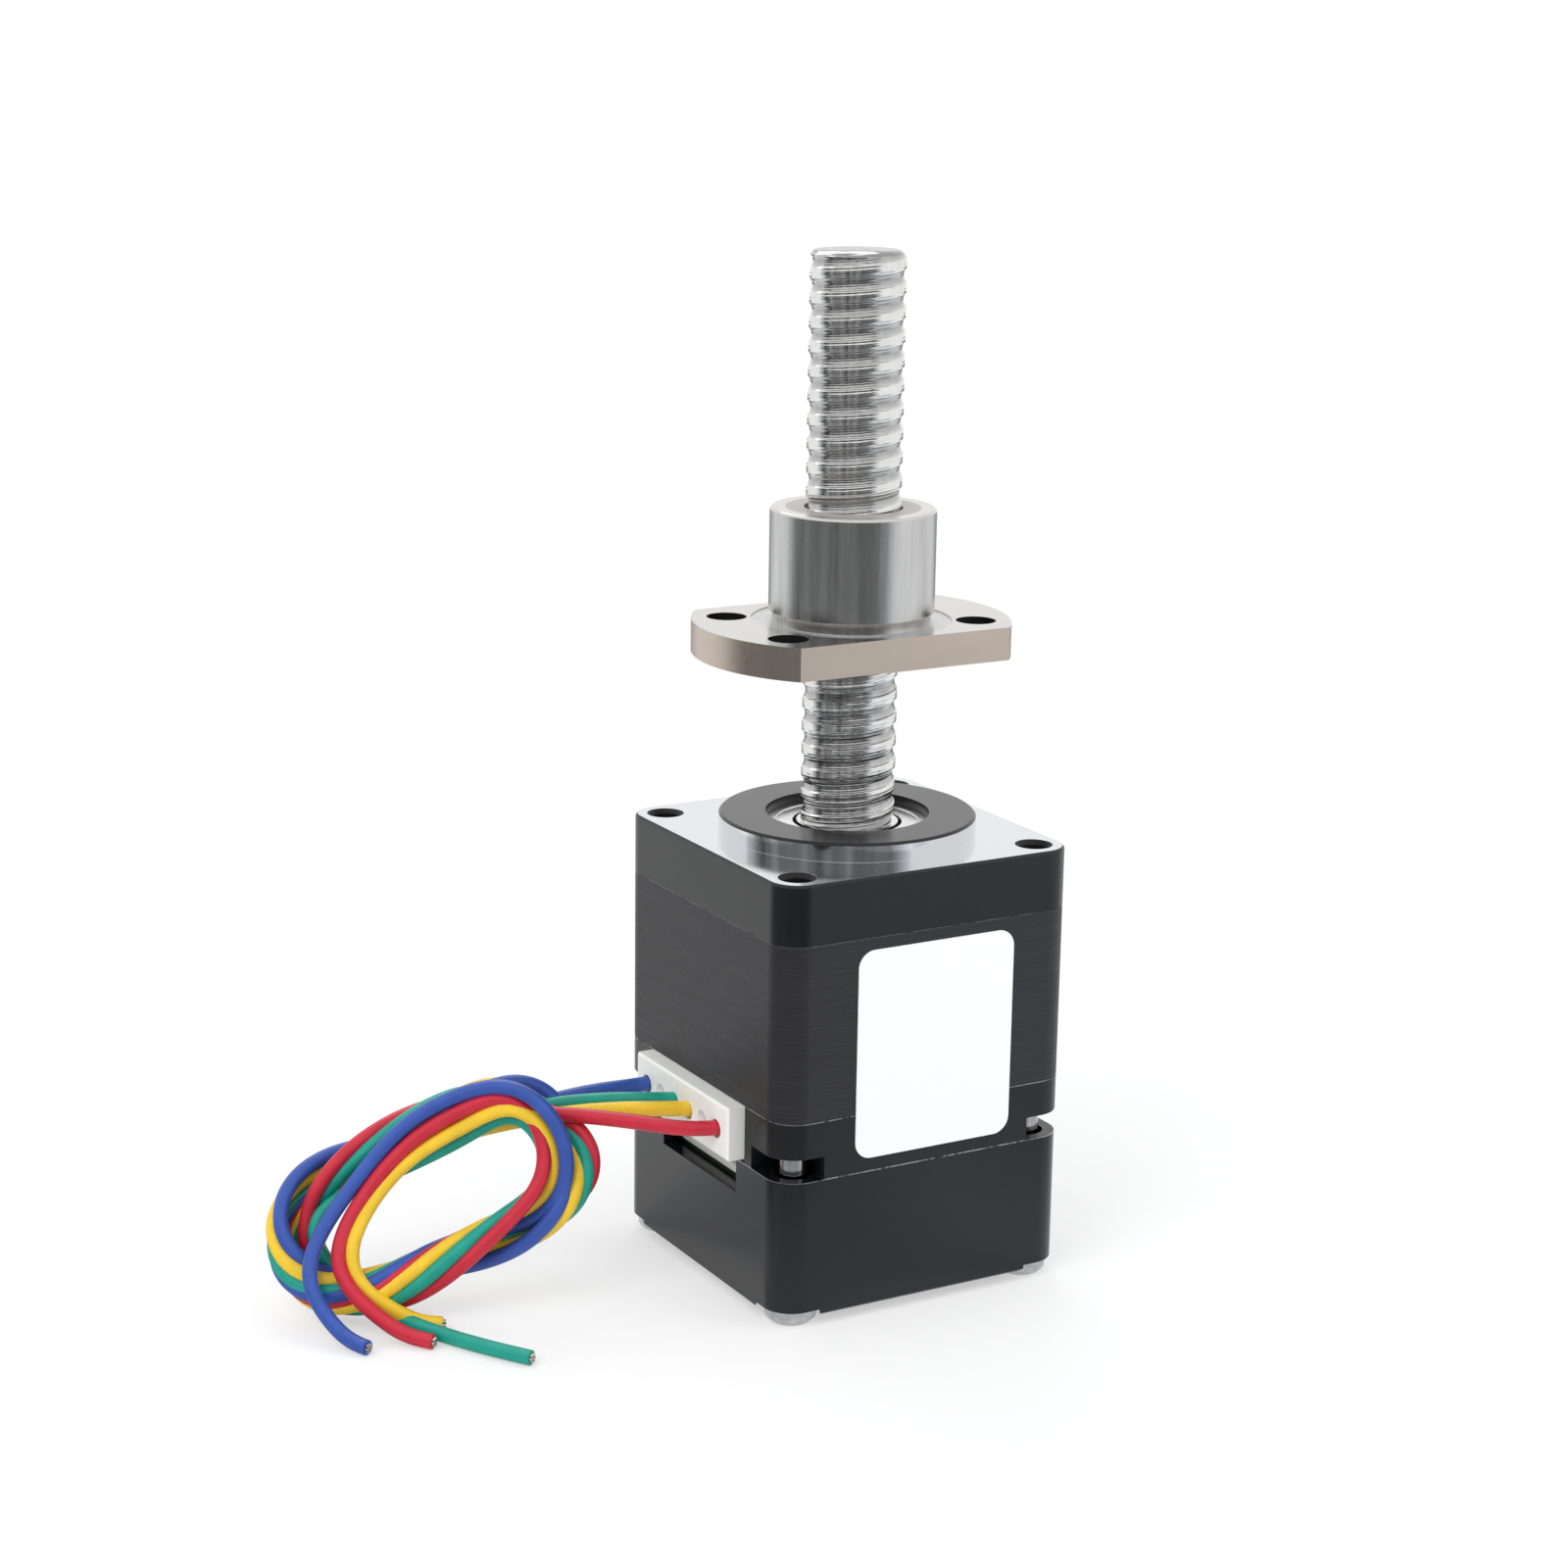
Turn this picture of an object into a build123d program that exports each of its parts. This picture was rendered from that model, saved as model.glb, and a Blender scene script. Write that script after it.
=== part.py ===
from build123d import *
import os
from math import degrees, pi, radians, sqrt, tan

# Ball screw stepper motor on a 28 mm frame, in millimetres.
# The origin is on the screw's axis, in the machined front face that bolts to a machine.
# +Z runs up the screw, and the lead connector is on the -X side.

# Motor frame
frame_width = 28.2
frame_corner_radius = 2.6
front_cap_length = 5.2
stator_length = 15.1
rear_cap_length = 5.1
cover_length = 12.0
edge_break = 0.2
mount_hole_spacing = 23.0
mount_hole_radius = 1.25
mount_hole_chamfer = 0.35
mount_hole_depth = 3.0
pilot_diameter = 22.0
pilot_height = 1.6
pilot_opening_diameter = 14.0
bearing_lip = 0.8

# Ball bearings
front_bearing_bore = 6.0
front_bearing_diameter = 15.0
front_bearing_width = 5.0
rear_bearing_bore = 5.0
rear_bearing_diameter = 13.0
rear_bearing_width = 4.0
bearing_ball_count = 7
bearing_ring_share = 0.3
bearing_ball_share = 0.26
bearing_gap = 0.08
cage_thickness = 0.4
cage_rim = 0.3
shield_thickness = 0.25
bearing_wall = 1.2
wave_spring_height = 0.6

# Ball screw
screw_diameter = 8.0
screw_lead = 2.0
screw_top = 49.0
raceway_depth = 0.36
raceway_land = 0.9
thread_cut_off_turns = 1.5
screw_chamfer = 0.4
shaft_end_below_board = 4.0

# Ball nut
nut_bottom = 15.5
nut_diameter = 14.0
nut_length = 12.3
flange_diameter = 27.0
flange_thickness = 2.8
flange_flats = 18.0
flange_hole_circle = 21.0
flange_hole_diameter = 3.4
flange_hole_angle = 30.0
undercut_height = 0.85
undercut_depth = 0.3
flange_relief_diameter = 17.0
flange_relief_depth = 0.1
nut_clearance = 0.3
nut_ball_diameter = 1.0
nut_ball_gap = 0.09
nut_ball_play = 0.06
circuit_count = 2
circuit_spacing = 2
circuit_angle = 310.0
deflector_diameter = 2.6
deflector_angle = 60.0
deflector_recess = 0.15
relief_margin = 0.7
wiper_thickness = 1.2
wiper_width = 1.4
wiper_clearance = 0.15

# Rotor and stator
rotor_diameter = 16.0
rotor_end_gap = 0.4
rotor_tooth_count = 50
rotor_tooth_depth = 0.4
magnet_length = 1.5
air_gap = 0.06
pole_count = 8
shoe_depth = 1.2
slot_opening = 1.3
neck_width = 3.4
yoke_bore_radius = 11.4
insulator_thickness = 0.5
insulator_rim = 0.6
coil_thickness = 1.3
coil_gap = 0.1
winding_pocket_gap = 0.2
winding_end_gap = 0.5

# Screws that tie the motor together
tie_screw_diameter = 2.4
tie_hole_clearance = 0.4
tie_thread_clearance = 0.25
tie_screw_engagement = 1.8
tie_head_diameter = 4.4
tie_head_height = 1.4
tie_head_recess = 0.5
tie_head_chamfer = 0.45
cross_recess_length = 2.6
cross_recess_width = 0.7
cross_recess_depth = 0.7
head_recess_clearance = 0.7
notch_height = 2.0
notch_x = 4.1
notch_y = 5.0

# Encoder under the rear cover
cover_wall = 1.4
cover_floor = 1.2
cover_clearance = 0.3
pillar_radius = 3.2
board_thickness = 1.0
board_gap = 2.6
board_post_offset = 9.6
board_post_radius = 2.0
board_screw_radius = 1.0
board_screw_head_radius = 1.9
board_screw_head_height = 1.2
board_screw_engagement = 1.8
hub_radius = 4.5
hub_flange_length = 1.3
hub_boss_radius = 3.4
hub_length = 3.0
hub_gap = 0.6
disc_diameter = 20.0
disc_thickness = 0.4
reader_inner_radius = 6.5
reader_width = 7.0
reader_slot_gap = 0.6
reader_wall = 1.2
socket_length = 12.2
socket_depth = 4.2
socket_wall = 0.7

# Lead connector, in a cut-out of the rear cap
connector_centre_y = 0.4
connector_width = 16.4
connector_height = 4.65
connector_reach = 1.6
connector_clearance = 0.1
connector_pitch = 2.5
connector_positions = 6
header_thickness = 1.0
contact_size = 0.6
contact_length = 2.3
wire_hole_diameter = 1.6
wire_hole_depth = 1.0
slot_centre_y = 0.0
slot_length = 13.0
slot_height = 3.0

# Blank label on the -Y face
label_width = 15.1
label_height = 18.0
label_centre_x = 0.45
label_top_below_face = 6.2
label_corner_radius = 1.5
label_thickness = 0.12

# Leads: the connector position that each colour leaves, then the points of its run to the coil and
# of its loose end, chosen by hand
lead_diameter = 1.3
lead_arc_share = 0.45
lead_positions = {"red": 0, "yellow": 2, "green": 3, "blue": 5}
lead_runs = {
    "red": [(-18.7, -5.85, -22.7), (-21.6, -3.95, -23.2), (-23.1, -0.9, -23.9)],
    "yellow": [(-18.4, -0.85, -22.7), (-20.7, -0.2, -23.1), (-22.6, 1.0, -23.7)],
    "green": [(-18.3, 1.65, -22.6), (-20.5, 2.0, -22.1), (-22.5, 2.9, -21.8)],
    "blue": [(-18.6, 6.65, -22.6), (-21.0, 6.2, -22.0), (-23.1, 5.0, -21.55)],
}
lead_tails = {
    "red": [(-44.8, 5.1, -35.8), (-44.6, 2.1, -37.1), (-43.2, -1.2, -37.5), (-40.8, -3.7, -37.6)],
    "yellow": [(-42.0, 4.2, -34.8), (-42.1, 1.6, -36.5), (-40.7, -0.7, -37.4), (-38.7, -2.1, -37.6)],
    "green": [(-37.9, 3.0, -34.2), (-37.9, 0.9, -36.5), (-36.9, -2.2, -37.6), (-35.9, -6.2, -37.6),
              (-34.3, -9.9, -37.6)],
    "blue": [(-46.8, 6.45, -35.6), (-47.6, 3.6, -37.1), (-47.2, 0.2, -37.5), (-45.8, -2.8, -37.6)],
}
coil_centre = (-35.94, 5.82, -28.45)
coil_long_axis = (0.899, -0.239, 0.366)
coil_normal = (-0.421, -0.698, 0.579)
coil_half_length = 9.0
coil_end_radius = 5.0
coil_radius = 2.3

# Levels and radii that follow from the sizes above
half_width = frame_width / 2
cap_joint = -front_cap_length
stator_end = cap_joint - stator_length
rear_cap_end = stator_end - rear_cap_length
cover_end = rear_cap_end - cover_length
front_bearing_top = pilot_height - bearing_lip
spring_seat = stator_end - rear_bearing_width - wave_spring_height
board_top = rear_cap_end - board_gap
board_bottom = board_top - board_thickness
shaft_end = board_bottom - shaft_end_below_board
rotor_radius = rotor_diameter / 2
stator_bore_radius = rotor_radius + air_gap
shoe_radius = stator_bore_radius + shoe_depth
insulator_radius = yoke_bore_radius + insulator_rim
pocket_radius = insulator_radius + winding_pocket_gap
pocket_depth = insulator_thickness + coil_thickness + winding_end_gap
tie_hole_radius = tie_screw_diameter / 2 + tie_hole_clearance
tie_thread_radius = tie_screw_diameter / 2 + tie_thread_clearance
nut_top = nut_bottom + nut_length
flange_top = nut_bottom + flange_thickness
nut_bore_radius = screw_diameter / 2 + nut_clearance
raceway_root_radius = screw_diameter / 2 - raceway_depth
raceway_root_offset = (screw_lead + raceway_land) / 2

os.makedirs("parts", exist_ok=True)


def frame_prism(top, length):
    """The motor's rounded square outline, from a level downwards."""
    with BuildSketch(Plane.XY.offset(top)) as outline:
        RectangleRounded(frame_width, frame_width, frame_corner_radius)
    extrude(outline.sketch, amount=-length)


def corner_holes(radius, top, depth):
    """Holes on the four corner screws' axes, from a level downwards."""
    with BuildSketch(Plane.XY.offset(top)) as holes:
        with GridLocations(mount_hole_spacing, mount_hole_spacing, 2, 2):
            Circle(radius)
    extrude(holes.sketch, amount=-depth, mode=Mode.SUBTRACT)


def disc(radius, top, length, mode=Mode.ADD):
    """A cylinder on the screw's axis, from a level downwards."""
    with BuildSketch(Plane.XY.offset(top)) as circle:
        Circle(radius)
    extrude(circle.sketch, amount=-length, mode=mode)


def ring(outer_radius, inner_radius, top, length, mode=Mode.ADD):
    """A plain ring on the screw's axis, from a level downwards."""
    with BuildSketch(Plane.XY.offset(top)) as circles:
        Circle(outer_radius)
        Circle(inner_radius, mode=Mode.SUBTRACT)
    extrude(circles.sketch, amount=-length, mode=mode)


def faceted_ball(radius):
    """A ball with flats in place of its round surface, and its corners on the sphere."""
    flat = radius * sqrt(2 / 3)
    with BuildPart() as ball:
        Box(2 * flat, 2 * flat, 2 * flat)
        chamfer(ball.edges(), flat * (2 - sqrt(2)))
    return ball.part


def save(piece, name):
    piece.part.label = name
    export_step(piece.part, f"parts/{name}.step")


# Front cap: the machined face and pilot, the front bearing's seat and the pocket for the windings
front_boss_radius = front_bearing_diameter / 2 + bearing_wall
with BuildPart() as front_cap:
    frame_prism(0, front_cap_length)
    chamfer(front_cap.faces().sort_by(Axis.Z)[-1].edges(), edge_break)
    disc(pilot_diameter / 2, pilot_height, pilot_height)
    chamfer(front_cap.faces().sort_by(Axis.Z)[-1].edges(), edge_break)
    ring(pocket_radius, front_boss_radius, cap_joint + pocket_depth, pocket_depth, Mode.SUBTRACT)
    disc(pilot_opening_diameter / 2, pilot_height, bearing_lip, Mode.SUBTRACT)
    disc(front_bearing_diameter / 2, front_bearing_top, front_bearing_top - cap_joint, Mode.SUBTRACT)
    with Locations((0, 0, 0)):
        with GridLocations(mount_hole_spacing, mount_hole_spacing, 2, 2):
            CounterSinkHole(mount_hole_radius, mount_hole_radius + mount_hole_chamfer,
                            depth=mount_hole_depth)
    corner_holes(tie_thread_radius, -mount_hole_depth, front_cap_length - mount_hole_depth)
save(front_cap, "front_cap")


# Stator: the lamination stack with its poles, an insulator on each end and a coil on each pole
with BuildPart() as stator_core:
    with BuildSketch(Plane.XY.offset(cap_joint)):
        RectangleRounded(frame_width, frame_width, frame_corner_radius)
        Circle(yoke_bore_radius, mode=Mode.SUBTRACT)
        Circle(shoe_radius)
        Circle(stator_bore_radius, mode=Mode.SUBTRACT)
        with PolarLocations(stator_bore_radius + shoe_depth / 2, pole_count, 180 / pole_count):
            Rectangle(2 * shoe_depth, slot_opening, mode=Mode.SUBTRACT)
        with PolarLocations((stator_bore_radius + yoke_bore_radius + shoe_depth) / 2, pole_count):
            Rectangle(yoke_bore_radius - stator_bore_radius, neck_width)
        with GridLocations(mount_hole_spacing, mount_hole_spacing, 2, 2):
            Circle(tie_hole_radius, mode=Mode.SUBTRACT)
    extrude(amount=-stator_length)
save(stator_core, "stator_core")

insulator_width = neck_width + 2 * coil_gap
for place, level in (("front", cap_joint + insulator_thickness), ("rear", stator_end)):
    with BuildPart() as insulator:
        with BuildSketch(Plane.XY.offset(level)):
            Circle(insulator_radius)
            Circle(yoke_bore_radius, mode=Mode.SUBTRACT)
            with PolarLocations((shoe_radius + insulator_radius) / 2, pole_count):
                Rectangle(insulator_radius - shoe_radius - insulator_rim / 2, insulator_width)
        extrude(amount=-insulator_thickness)
    save(insulator, f"{place}_insulator")

coil_inner_length = stator_length + 2 * insulator_thickness
coil_width = insulator_width + 2 * coil_thickness
coil_start = shoe_radius + coil_gap
coil_end = sqrt((yoke_bore_radius - coil_gap) ** 2 - (coil_width / 2) ** 2)
with BuildPart() as one_coil:
    with BuildSketch(Plane.YZ.offset(coil_start)):
        with Locations((0, cap_joint - stator_length / 2)):
            RectangleRounded(coil_width, coil_inner_length + 2 * coil_thickness, coil_thickness)
            Rectangle(insulator_width, coil_inner_length, mode=Mode.SUBTRACT)
    extrude(amount=coil_end - coil_start)
with BuildPart() as stator_coils:
    with PolarLocations(0, pole_count):
        add(one_coil.part)
save(stator_coils, "stator_coils")


# Rear cap: the rear bearing's seat, the cut-out for the connector and the notches at its corners
rear_boss_radius = rear_bearing_diameter / 2 + bearing_wall
with BuildPart() as rear_cap:
    frame_prism(stator_end, rear_cap_length)
    ring(pocket_radius, rear_boss_radius, stator_end, pocket_depth, Mode.SUBTRACT)
    disc(rear_bearing_diameter / 2, stator_end, stator_end - spring_seat, Mode.SUBTRACT)
    disc(front_bearing_bore / 2, stator_end, rear_cap_length, Mode.SUBTRACT)
    corner_holes(tie_hole_radius, stator_end, rear_cap_length)
    with BuildSketch(Plane.XY.offset(rear_cap_end)):
        for side_x in (-1, 1):
            for side_y in (-1, 1):
                with Locations((side_x * (half_width - notch_x / 2), side_y * (half_width - notch_y / 2))):
                    Rectangle(notch_x, notch_y)
    extrude(amount=notch_height, mode=Mode.SUBTRACT)
    with BuildSketch(Plane.YZ.offset(-half_width)):
        with Locations((connector_centre_y, stator_end - rear_cap_length / 2)):
            Rectangle(connector_width + 2 * connector_clearance, rear_cap_length)
    extrude(amount=half_width - insulator_radius, mode=Mode.SUBTRACT)
    with BuildSketch(Plane.XY.offset(rear_cap_end)):
        with Locations((0, -board_post_offset), (0, board_post_offset)):
            Circle(board_screw_radius)
    extrude(amount=board_screw_engagement, mode=Mode.SUBTRACT)
save(rear_cap, "rear_cap")

with BuildPart() as wave_spring:
    ring(rear_bearing_diameter / 2 - bearing_gap, rear_bearing_diameter / 2 - bearing_wall,
         spring_seat + wave_spring_height, wave_spring_height)
save(wave_spring, "wave_spring")


# The two ball bearings: rings, shields, cage and balls
bearings = {
    "front": (front_bearing_bore, front_bearing_diameter, front_bearing_width, front_bearing_top),
    "rear": (rear_bearing_bore, rear_bearing_diameter, rear_bearing_width, stator_end),
}
for place, (bore, diameter, width, top) in bearings.items():
    section = (diameter - bore) / 2
    ring_height = bearing_ring_share * section
    pitch_radius = (bore + diameter) / 4
    ball_radius = bearing_ball_share * section
    ball_level = top - width / 2
    inner_land = bore / 2 + ring_height
    outer_land = diameter / 2 - ring_height
    groove = ball_radius * sqrt(2) + bearing_gap

    for ring_name, low, high in (("inner", bore / 2, inner_land), ("outer", outer_land, diameter / 2)):
        with BuildPart() as race:
            with BuildSketch(Plane.XZ):
                with Locations(((low + high) / 2, ball_level)):
                    Rectangle(high - low, width)
                with Locations(Location((pitch_radius, ball_level), 45)):
                    Rectangle(sqrt(2) * groove, sqrt(2) * groove, mode=Mode.SUBTRACT)
            revolve(axis=Axis.Z)
        save(race, f"{place}_bearing_{ring_name}_ring")

    with BuildPart() as shields:
        for level in (top - bearing_gap, top - width + bearing_gap + shield_thickness):
            ring(outer_land, inner_land + shield_thickness + bearing_gap, level, shield_thickness)
    save(shields, f"{place}_bearing_shields")

    ball = faceted_ball(ball_radius)
    with BuildPart() as balls:
        with Locations((0, 0, ball_level)):
            with PolarLocations(pitch_radius, bearing_ball_count):
                add(ball)
    save(balls, f"{place}_bearing_balls")

    cage_height = 2 * (ball_radius + bearing_gap + cage_rim)
    with BuildPart() as cage:
        ring(pitch_radius + cage_thickness / 2, pitch_radius - cage_thickness / 2,
             ball_level + cage_height / 2, cage_height)
        with Locations((0, 0, ball_level)):
            with PolarLocations(pitch_radius, bearing_ball_count):
                Cylinder(ball_radius + bearing_gap, section, rotation=(0, 90, 0), mode=Mode.SUBTRACT)
    save(cage, f"{place}_bearing_cage")


# Rotor: two toothed cups, half a tooth apart, with a magnet between them
cup_length = (stator_length - 2 * rotor_end_gap - magnet_length) / 2
rotor_top = cap_joint - rotor_end_gap
tooth_pitch = 2 * pi * rotor_radius / rotor_tooth_count
cups = {
    "front": (rotor_top, 0),
    "rear": (rotor_top - cup_length - magnet_length, 180 / rotor_tooth_count),
}
for place, (top, turn) in cups.items():
    with BuildPart() as cup:
        with BuildSketch(Plane.XY.offset(top)):
            Circle(rotor_radius)
            Circle(front_bearing_bore / 2, mode=Mode.SUBTRACT)
            with PolarLocations(rotor_radius, rotor_tooth_count, turn):
                Rectangle(2 * rotor_tooth_depth, tooth_pitch / 2, mode=Mode.SUBTRACT)
        extrude(amount=-cup_length)
    save(cup, f"rotor_core_{place}")

with BuildPart() as rotor_magnet:
    ring(rotor_radius - 2 * rotor_tooth_depth, front_bearing_bore / 2, rotor_top - cup_length,
         magnet_length)
save(rotor_magnet, "rotor_magnet")


# Ball screw: one piece with the motor's shaft. Its raceway is a right-hand helical groove between
# helical lands, made as ruled faces turn by turn and then cut off square at both ends.
def helix_turn(radius, level):
    return Edge.make_helix(screw_lead, screw_lead, radius, center=(0, 0, level))


def thread_turn(level):
    """One turn of the land and of the groove's two flanks."""
    land_start = helix_turn(screw_diameter / 2, level)
    land_end = helix_turn(screw_diameter / 2, level + raceway_land)
    root = helix_turn(raceway_root_radius, level + raceway_root_offset)
    next_land = helix_turn(screw_diameter / 2, level + screw_lead)
    pairs = ((land_start, land_end), (land_end, root), (root, next_land))
    return [Face.make_surface_from_curves(low, high) for low, high in pairs]


def thread_end(level):
    """The helical ramp and the flat step that close the thread below its first or above its last turn."""
    axis_line = Edge.make_line((0, 0, level), (0, 0, level + screw_lead))
    ramp = Face.make_surface_from_curves(axis_line, helix_turn(screw_diameter / 2, level))
    step = Wire.make_polygon([
        (0, 0, level),
        (screw_diameter / 2, 0, level),
        (screw_diameter / 2, 0, level + raceway_land),
        (raceway_root_radius, 0, level + raceway_root_offset),
        (screw_diameter / 2, 0, level + screw_lead),
        (0, 0, level + screw_lead),
    ])
    return [ramp, Face(step)]


thread_bottom = front_bearing_top
thread_start = thread_bottom - thread_cut_off_turns * screw_lead
thread_turns = int((screw_top - thread_start) / screw_lead) + 1
thread_faces = thread_end(thread_start) + thread_end(thread_start + thread_turns * screw_lead)
for turn in range(thread_turns):
    thread_faces += thread_turn(thread_start + turn * screw_lead)

with BuildPart() as ball_screw:
    add(Solid(Shell(thread_faces)))
    split(bisect_by=Plane.XY.offset(thread_bottom), keep=Keep.TOP)
    split(bisect_by=Plane.XY.offset(screw_top), keep=Keep.BOTTOM)
    with BuildSketch(Plane.XZ):
        with BuildLine():
            Polyline((screw_diameter / 2 - screw_chamfer, screw_top),
                     (screw_diameter, screw_top),
                     (screw_diameter, screw_top - screw_diameter / 2 - screw_chamfer), close=True)
        make_face()
    revolve(axis=Axis.Z, mode=Mode.SUBTRACT)
    disc(front_bearing_bore / 2, thread_bottom, thread_bottom - stator_end)
    disc(rear_bearing_bore / 2, stator_end, stator_end - shaft_end)
save(ball_screw, "ball_screw")


# Ball nut: flange and body, two ball circuits, their deflectors and the wipers
nut_ball_radius = nut_ball_diameter / 2
flank_width = (screw_lead - raceway_land) / 2
flank_slope = sqrt(flank_width ** 2 + raceway_depth ** 2) / flank_width
ball_centre_radius = raceway_root_radius + (nut_ball_radius + nut_ball_gap) * flank_slope
relief_radius = ball_centre_radius + nut_ball_radius + nut_ball_gap
relief_top = nut_top - wiper_thickness - relief_margin
relief_bottom = nut_bottom + wiper_thickness + relief_margin
wiper_seat_radius = nut_bore_radius + wiper_width


def raceway_level(angle):
    """The level of the screw's groove root, counted in degrees round the screw from its first turn."""
    return thread_start + raceway_root_offset + screw_lead * angle / 360


first_angle = deflector_angle + 180 - circuit_angle / 2
while raceway_level(first_angle) < relief_bottom + nut_ball_radius + nut_ball_gap:
    first_angle += 360
circuit_starts = [first_angle + 360 * circuit_spacing * circuit for circuit in range(circuit_count)]
deflector_places = [
    (start + circuit_angle / 2 + 180, raceway_level(start + circuit_angle / 2)) for start in circuit_starts
]

with BuildPart() as ball_nut:
    with BuildSketch(Plane.XY.offset(nut_bottom)):
        Circle(flange_diameter / 2)
        Rectangle(flange_diameter, flange_flats, mode=Mode.INTERSECT)
        for angle in (flange_hole_angle, 180 - flange_hole_angle, 180 + flange_hole_angle,
                      -flange_hole_angle):
            with PolarLocations(flange_hole_circle / 2, 1, angle):
                Circle(flange_hole_diameter / 2, mode=Mode.SUBTRACT)
    extrude(amount=flange_thickness)
    disc(nut_diameter / 2 - undercut_depth, flange_top + undercut_height, undercut_height)
    disc(nut_diameter / 2, nut_top, nut_top - flange_top - undercut_height)
    chamfer(ball_nut.faces().sort_by(Axis.Z)[-1].edges(), edge_break)
    ring(flange_relief_diameter / 2, nut_diameter / 2 - undercut_depth, flange_top, flange_relief_depth,
         Mode.SUBTRACT)
    disc(nut_bore_radius, nut_top, nut_length, Mode.SUBTRACT)
    disc(relief_radius, relief_top, relief_top - relief_bottom, Mode.SUBTRACT)
    disc(wiper_seat_radius, nut_top, wiper_thickness, Mode.SUBTRACT)
    disc(wiper_seat_radius, nut_bottom + wiper_thickness, wiper_thickness, Mode.SUBTRACT)
    for angle, level in deflector_places:
        with BuildSketch(Plane((0, 0, level), z_dir=Vector(1, 0, 0).rotate(Axis.Z, angle))):
            Circle(deflector_diameter / 2)
        extrude(amount=nut_diameter, mode=Mode.SUBTRACT)
save(ball_nut, "ball_nut")

with BuildPart() as ball_deflectors:
    for angle, level in deflector_places:
        outward = Vector(1, 0, 0).rotate(Axis.Z, angle)
        with BuildSketch(Plane(outward * nut_bore_radius + Vector(0, 0, level), z_dir=outward)):
            Circle(deflector_diameter / 2)
        extrude(amount=nut_diameter / 2 - deflector_recess - nut_bore_radius)
save(ball_deflectors, "ball_deflectors")

nut_ball = faceted_ball(nut_ball_radius)
ball_step = degrees((nut_ball_diameter + nut_ball_play) / ball_centre_radius)
with BuildPart() as nut_balls:
    for start in circuit_starts:
        for number in range(int(circuit_angle / ball_step)):
            angle = start + (number + 0.5) * ball_step
            place = Vector(ball_centre_radius, 0, raceway_level(angle)).rotate(Axis.Z, angle)
            with Locations(place):
                add(nut_ball)
save(nut_balls, "nut_balls")

for place, level in (("upper", nut_top), ("lower", nut_bottom + wiper_thickness)):
    with BuildPart() as wiper:
        ring(wiper_seat_radius, screw_diameter / 2 + wiper_clearance, level, wiper_thickness)
    save(wiper, f"nut_wiper_{place}")


# Encoder: circuit board on two posts, disc and hub on the shaft, reader and socket on the board
pillar_clear_radius = pillar_radius + cover_clearance
board_width = frame_width - 2 * (cover_wall + cover_clearance)
post_places = ((0, -board_post_offset), (0, board_post_offset))
shaft_radius = rear_bearing_bore / 2
with BuildPart() as encoder_board:
    with BuildSketch(Plane.XY.offset(board_top)):
        Rectangle(board_width, board_width)
        with GridLocations(mount_hole_spacing, mount_hole_spacing, 2, 2):
            Circle(pillar_clear_radius, mode=Mode.SUBTRACT)
        Circle(hub_radius, mode=Mode.SUBTRACT)
        with Locations(*post_places):
            Circle(board_screw_radius, mode=Mode.SUBTRACT)
    extrude(amount=-board_thickness)
save(encoder_board, "encoder_board")

with BuildPart() as board_posts:
    with BuildSketch(Plane.XY.offset(rear_cap_end)):
        with Locations(*post_places):
            Circle(board_post_radius)
            Circle(board_screw_radius, mode=Mode.SUBTRACT)
    extrude(amount=-board_gap)
save(board_posts, "board_posts")

with BuildPart() as board_screws:
    with BuildSketch(Plane.XY.offset(board_bottom)):
        with Locations(*post_places):
            Circle(board_screw_head_radius)
    extrude(amount=-board_screw_head_height)
    with BuildSketch(Plane.XY.offset(board_bottom)):
        with Locations(*post_places):
            Circle(board_screw_radius)
    extrude(amount=board_thickness + board_gap + board_screw_engagement)
save(board_screws, "board_screws")

hub_top = board_bottom - hub_gap
disc_top = hub_top - hub_flange_length
with BuildPart() as encoder_hub:
    disc(hub_radius, hub_top, hub_flange_length)
    disc(hub_boss_radius, disc_top, hub_length - hub_flange_length)
    disc(shaft_radius, hub_top, hub_length, Mode.SUBTRACT)
save(encoder_hub, "encoder_hub")

with BuildPart() as encoder_disc:
    ring(disc_diameter / 2, hub_boss_radius, disc_top, disc_thickness)
save(encoder_disc, "encoder_disc")

reader_slot_top = disc_top + reader_slot_gap
reader_slot_bottom = disc_top - disc_thickness - reader_slot_gap
reader_slot_end = disc_diameter / 2 + reader_slot_gap
with BuildPart() as encoder_reader:
    with BuildSketch(Plane.XZ.offset(-reader_width / 2)):
        with BuildLine():
            Polyline((reader_inner_radius, board_bottom),
                     (reader_slot_end + reader_wall, board_bottom),
                     (reader_slot_end + reader_wall, reader_slot_bottom - reader_wall),
                     (reader_inner_radius, reader_slot_bottom - reader_wall),
                     (reader_inner_radius, reader_slot_bottom),
                     (reader_slot_end, reader_slot_bottom),
                     (reader_slot_end, reader_slot_top),
                     (reader_inner_radius, reader_slot_top), close=True)
        make_face()
    extrude(amount=reader_width)
save(encoder_reader, "encoder_reader")

socket_face = -board_width / 2
socket_height = board_gap - cover_clearance
with BuildPart() as encoder_socket:
    with BuildSketch(Plane.XY.offset(board_top)):
        with Locations((socket_face + socket_depth / 2, slot_centre_y)):
            Rectangle(socket_depth, socket_length)
    extrude(amount=socket_height)
    with BuildSketch(Plane.YZ.offset(socket_face)):
        with Locations((slot_centre_y, board_top + socket_height / 2)):
            Rectangle(socket_length - 2 * socket_wall, socket_height - 2 * socket_wall)
    extrude(amount=socket_depth - socket_wall, mode=Mode.SUBTRACT)
save(encoder_socket, "encoder_socket")


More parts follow.
